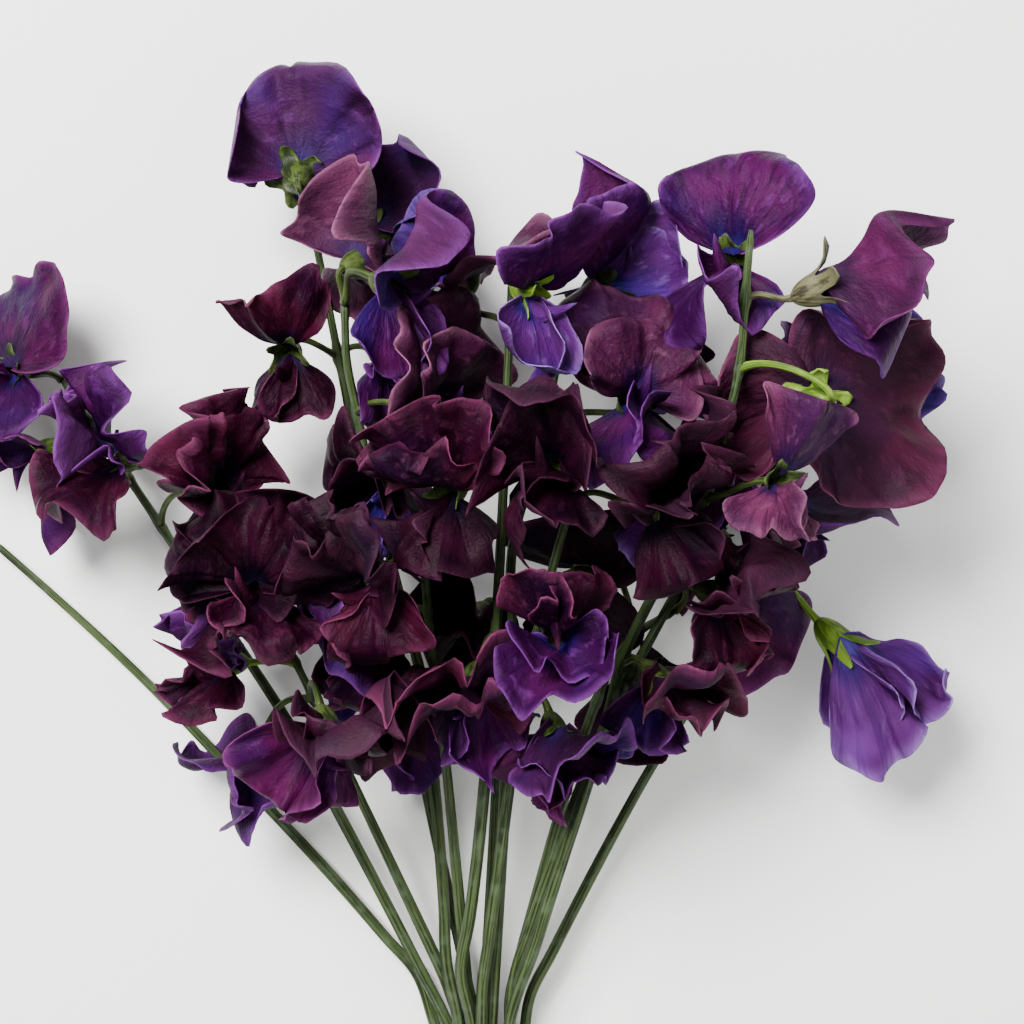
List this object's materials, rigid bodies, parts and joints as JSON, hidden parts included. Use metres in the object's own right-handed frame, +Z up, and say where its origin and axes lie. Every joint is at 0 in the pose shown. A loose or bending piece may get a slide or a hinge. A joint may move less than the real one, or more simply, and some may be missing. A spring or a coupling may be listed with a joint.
{
  "type": "bunch of sweet pea stems",
  "caption": "Loose bunch of cut sweet pea stems lying on its side, fanned out from a tight neck, with ruffled dark purple and maroon blossoms.",
  "frame": {"origin": "middle of the bunch's box, on the surface that it lies on", "axes": "+X across the bunch, +Y along it from the cut ends to the flowering tips, +Z up from the surface"},
  "size_m": [0.2897, 0.335, 0.1164],
  "materials": {
    "stem_green": "satin",
    "petals_aubergine": "matte",
    "petals_maroon": "matte",
    "petals_mauve": "matte",
    "petals_purple": "matte",
    "petals_violet": "matte",
    "petals_lilac": "matte",
    "petals_magenta": "matte"
  },
  "bodies": {
    "root": {"stem_a": "stem_green", "stem_b": "stem_green", "stem_c": "stem_green", "stem_d": "stem_green", "stem_e": "stem_green", "stem_f": "stem_green", "stem_g": "stem_green", "stem_h": "stem_green", "stem_i": "stem_green", "stem_j": "stem_green", "stem_k": "stem_green", "stem_l": "stem_green", "stem_m": "stem_green", "stem_n": "stem_green", "blossom_a1": "petals_purple", "blossom_a2": "petals_purple", "blossom_a3": "petals_maroon", "blossom_a4": "petals_purple", "blossom_a5": "petals_purple", "blossom_b1": "petals_mauve", "blossom_b2": "petals_purple", "blossom_b3": "petals_mauve", "blossom_c1": "petals_purple", "blossom_c2": "petals_mauve", "blossom_c3": "petals_maroon", "blossom_d1": "petals_purple", "blossom_d2": "petals_purple", "blossom_d3": "petals_maroon", "blossom_e1": "petals_purple", "blossom_e2": "petals_purple", "blossom_e3": "petals_maroon", "blossom_e4": "petals_mauve", "blossom_e5": "petals_maroon", "blossom_f1": "petals_purple", "blossom_f2": "petals_purple", "blossom_f3": "petals_purple", "blossom_f4": "petals_violet", "blossom_g1": "petals_magenta", "blossom_g2": "petals_lilac", "blossom_g3": "petals_maroon", "blossom_h1": "petals_aubergine", "blossom_h2": "petals_aubergine", "blossom_h3": "petals_purple", "blossom_i1": "petals_maroon", "blossom_i2": "petals_maroon", "blossom_i3": "petals_purple", "blossom_i4": "petals_violet", "blossom_j1": "petals_aubergine", "blossom_j2": "petals_aubergine", "blossom_j3": "petals_aubergine", "blossom_k1": "petals_purple", "blossom_k2": "petals_aubergine", "blossom_l1": "petals_purple", "blossom_l2": "petals_maroon", "blossom_l3": "petals_magenta", "blossom_l4": "petals_magenta", "blossom_m1": "petals_aubergine", "blossom_m2": "petals_purple", "blossom_m3": "petals_aubergine", "blossom_m4": "petals_violet"}
  },
  "joints": []
}
